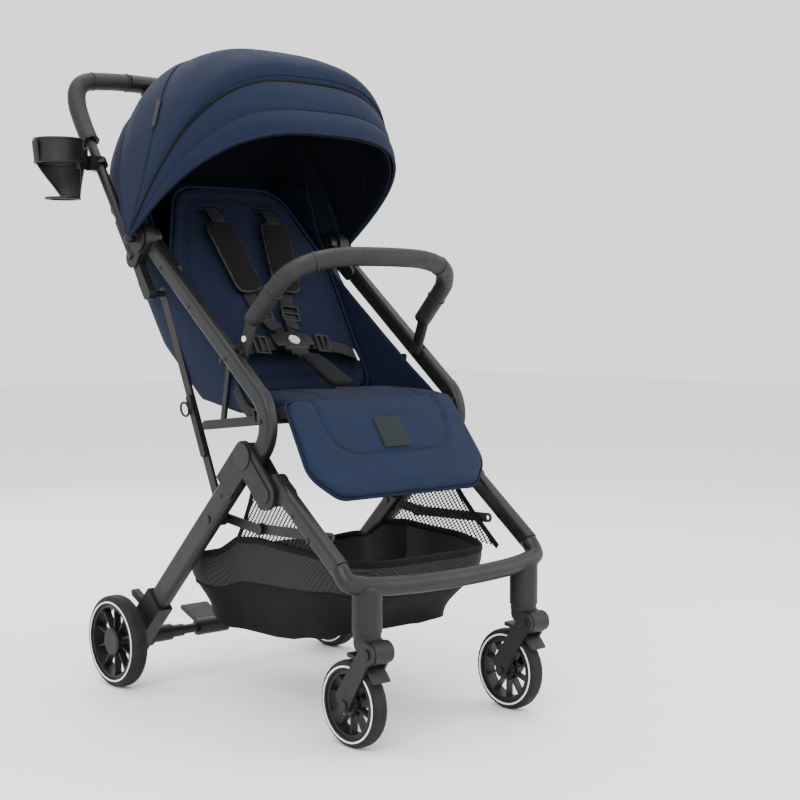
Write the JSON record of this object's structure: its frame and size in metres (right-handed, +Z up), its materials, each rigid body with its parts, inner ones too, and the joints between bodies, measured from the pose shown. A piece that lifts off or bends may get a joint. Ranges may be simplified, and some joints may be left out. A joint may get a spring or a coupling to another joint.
{
  "type": "baby stroller",
  "caption": "Compact folding baby stroller with a reclining padded seat, hood, bumper bar, harness, leg rest, cup holder, under-seat basket and swivel front wheels.",
  "frame": {"origin": "floor level, under the middle of the whole object's box", "axes": "+Z up, -Y the way the child faces and the stroller is pushed, +X the child's left"},
  "size_m": [0.551, 0.7764, 1.067],
  "materials": {
    "black_fabric": "woven polyester, black",
    "black_plastic": "fine textured",
    "frame_paint": "matte charcoal powder coat",
    "grey_button": "satin",
    "navy_fabric": "woven polyester, navy",
    "pale_button": "satin",
    "rivet": "black zinc",
    "seat_fabric": "heather navy",
    "soft_grip": "textured soft grip cover",
    "tyre": "moulded tread",
    "webbing": "woven strap"
  },
  "bodies": {
    "rear_frame": {"rear_leg_left": "frame_paint", "rear_leg_right": "frame_paint", "hub_housing_left": "black_plastic", "hub_housing_right": "black_plastic", "wheel_housing_left": "black_plastic", "wheel_housing_right": "black_plastic", "rear_axle": "frame_paint", "frame_pins": "rivet", "basket": "black_fabric"},
    "brake": {"brake_pedal": "black_plastic"},
    "rear_wheel_left": {"rear_tyre_left": "tyre", "rear_rim_left": "black_plastic"},
    "rear_wheel_right": {"rear_tyre_right": "tyre", "rear_rim_right": "black_plastic"},
    "front_frame": {"front_leg_left": "frame_paint", "front_leg_right": "frame_paint", "front_bar": "black_plastic"},
    "caster_left": {"caster_left": "black_plastic"},
    "caster_right": {"caster_right": "black_plastic"},
    "fork_left": {"fork_left": "black_plastic"},
    "fork_right": {"fork_right": "black_plastic"},
    "front_wheel_left": {"front_tyre_left": "tyre", "front_rim_left": "black_plastic"},
    "front_wheel_right": {"front_tyre_right": "tyre", "front_rim_right": "black_plastic"},
    "seat_frame": {"seat_tube_left": "frame_paint", "seat_tube_right": "frame_paint", "seat_base": "black_plastic", "seat_cushion": "seat_fabric", "seat_shell": "navy_fabric", "bumper_mounts": "rivet", "seat_pins": "rivet", "lap_straps": "webbing", "buckle": "black_plastic"},
    "buckle_release": {"buckle_button": "grey_button"},
    "backrest": {"backrest": "navy_fabric", "shoulder_straps": "webbing"},
    "leg_rest": {"leg_rest": "seat_fabric"},
    "bumper": {"bumper_bar": "soft_grip"},
    "bumper_release_left": {"bumper_button_left": "pale_button"},
    "bumper_release_right": {"bumper_button_right": "pale_button"},
    "handle": {"handle_bracket_left": "black_plastic", "handle_bracket_right": "black_plastic", "handle_tube_left": "frame_paint", "handle_tube_right": "frame_paint", "grip": "soft_grip", "fold_housing": "black_plastic", "cup_clip": "black_plastic", "canopy_back": "navy_fabric"},
    "fold_button": {"fold_button": "black_plastic"},
    "cup_holder": {"cup_holder": "black_plastic"},
    "canopy_base": {"canopy_hubs": "black_plastic", "canopy_rear": "navy_fabric"},
    "canopy_mid": {"canopy_bow_mid": "black_plastic", "canopy_front": "navy_fabric"},
    "canopy_rim": {"canopy_bow_front": "black_plastic"},
    "rear_links": {"rear_links": "frame_paint", "fold_latch": "black_plastic"},
    "rear_braces": {"rear_braces": "frame_paint"},
    "front_braces": {"front_braces": "frame_paint"}
  },
  "joints": [
    {"name": "fold", "type": "hinge", "parent": "rear_frame", "child": "seat_frame", "pos_m": [0.0345, -0.1255, 0.403], "axis": [-1, 0, 0], "range_deg": [0, 80], "deforming": ["basket"]},
    {"name": "front_fold", "type": "hinge", "parent": "rear_frame", "child": "front_frame", "pos_m": [0.0345, -0.1785, 0.35], "axis": [1, 0, 0], "range_deg": [0, 76]},
    {"name": "handle_fold", "type": "hinge", "parent": "seat_frame", "child": "handle", "pos_m": [0.0345, 0.1545, 0.733], "axis": [1, 0, 0], "range_deg": [0, 150], "deforming": ["canopy_back"]},
    {"name": "link_fold", "type": "hinge", "parent": "rear_frame", "child": "rear_links", "pos_m": [0.0345, -0.0242, 0.297], "axis": [-1, 0, 0], "range_deg": [0, 89.8]},
    {"name": "rear_brace_fold", "type": "hinge", "parent": "rear_frame", "child": "rear_braces", "pos_m": [0.0345, -0.0242, 0.297], "axis": [1, 0, 0], "range_deg": [0, 114.4]},
    {"name": "front_brace_fold", "type": "hinge", "parent": "front_frame", "child": "front_braces", "pos_m": [0.0345, -0.2735, 0.293], "axis": [-1, 0, 0], "range_deg": [0, 81.2]},
    {"name": "bumper_fold", "type": "hinge", "parent": "seat_frame", "child": "bumper", "pos_m": [0.0345, -0.0875, 0.556], "axis": [1, 0, 0], "range_deg": [0, 67.2]},
    {"name": "canopy_collapse", "type": "hinge", "parent": "handle", "child": "canopy_base", "pos_m": [0.0345, 0.1545, 0.733], "axis": [-1, 0, 0], "range_deg": [0, 64.2], "deforming": ["canopy_rear"]},
    {"name": "canopy", "type": "hinge", "parent": "canopy_base", "child": "canopy_mid", "pos_m": [0.0345, 0.1545, 0.733], "axis": [1, 0, 0], "range_deg": [-25, 0]},
    {"name": "canopy_rim_fold", "type": "hinge", "parent": "canopy_mid", "child": "canopy_rim", "pos_m": [0.0345, 0.1545, 0.733], "axis": [-1, 0, 0], "range_deg": [0, 25.1], "deforming": ["canopy_front"]},
    {"name": "recline", "type": "hinge", "parent": "seat_frame", "child": "backrest", "pos_m": [0.0345, 0.0025, 0.484], "axis": [1, 0, 0], "range_deg": [-25, 0], "deforming": ["seat_shell"]},
    {"name": "leg_rest_tilt", "type": "hinge", "parent": "seat_frame", "child": "leg_rest", "pos_m": [0.0345, -0.1855, 0.484], "axis": [1, 0, 0], "range_deg": [-50, 0]},
    {"name": "caster_swivel_left", "type": "hinge", "parent": "front_frame", "child": "caster_left", "pos_m": [-0.1235, -0.3525, 0.18], "axis": [0, 0, 1], "continuous": true},
    {"name": "caster_swivel_right", "type": "hinge", "parent": "front_frame", "child": "caster_right", "pos_m": [0.1925, -0.3525, 0.18], "axis": [0, 0, 1], "continuous": true},
    {"name": "suspension_left", "type": "hinge", "parent": "caster_left", "child": "fork_left", "pos_m": [-0.1235, -0.3725, 0.143], "axis": [1, 0, 0], "range_deg": [-4, 4], "stiffness_Nm_per_rad": 90},
    {"name": "suspension_right", "type": "hinge", "parent": "caster_right", "child": "fork_right", "pos_m": [0.1925, -0.3725, 0.143], "axis": [1, 0, 0], "range_deg": [-4, 4], "stiffness_Nm_per_rad": 90},
    {"name": "front_spin_left", "type": "hinge", "parent": "fork_left", "child": "front_wheel_left", "pos_m": [-0.1235, -0.3235, 0.0625], "axis": [1, 0, 0], "continuous": true},
    {"name": "front_spin_right", "type": "hinge", "parent": "fork_right", "child": "front_wheel_right", "pos_m": [0.1925, -0.3235, 0.0625], "axis": [1, 0, 0], "continuous": true},
    {"name": "rear_spin_left", "type": "hinge", "parent": "rear_frame", "child": "rear_wheel_left", "pos_m": [-0.1915, 0.2025, 0.075], "axis": [1, 0, 0], "continuous": true},
    {"name": "rear_spin_right", "type": "hinge", "parent": "rear_frame", "child": "rear_wheel_right", "pos_m": [0.2605, 0.2025, 0.075], "axis": [1, 0, 0], "continuous": true},
    {"name": "brake_press", "type": "hinge", "parent": "rear_frame", "child": "brake", "pos_m": [-0.0055, 0.2025, 0.075], "axis": [-1, 0, 0], "range_deg": [0, 18]},
    {"name": "cup_swivel", "type": "hinge", "parent": "handle", "child": "cup_holder", "pos_m": [-0.1915, 0.2995, 0.866], "axis": [1, 0, 0], "range_deg": [-30, 30]},
    {"name": "fold_button_press", "type": "slide", "parent": "handle", "child": "fold_button", "axis": [0, 0, -1], "range_m": [0, 0.002], "stiffness_N_per_m": 400},
    {"name": "bumper_button_press_left", "type": "slide", "parent": "bumper", "child": "bumper_release_left", "axis": [1, 0, 0], "range_m": [0, 0.002], "stiffness_N_per_m": 400},
    {"name": "bumper_button_press_right", "type": "slide", "parent": "bumper", "child": "bumper_release_right", "axis": [-1, 0, 0], "range_m": [0, 0.002], "stiffness_N_per_m": 400},
    {"name": "buckle_press", "type": "slide", "parent": "seat_frame", "child": "buckle_release", "axis": [0, 0.6428, -0.766], "range_m": [0, 0.0015], "stiffness_N_per_m": 400}
  ],
  "couplings": [
    {"joint": "front_fold", "follows": "fold", "ratio": 0.95},
    {"joint": "handle_fold", "follows": "fold", "ratio": 1.875},
    {"joint": "link_fold", "follows": "fold", "ratio": 1.1225},
    {"joint": "rear_brace_fold", "follows": "fold", "ratio": 1.429},
    {"joint": "front_brace_fold", "follows": "fold", "ratio": 1.0125},
    {"joint": "bumper_fold", "follows": "fold", "ratio": 0.8375},
    {"joint": "canopy_collapse", "follows": "fold", "ratio": 0.8},
    {"joint": "canopy_rim_fold", "follows": "fold", "ratio": 0.3125}
  ]
}
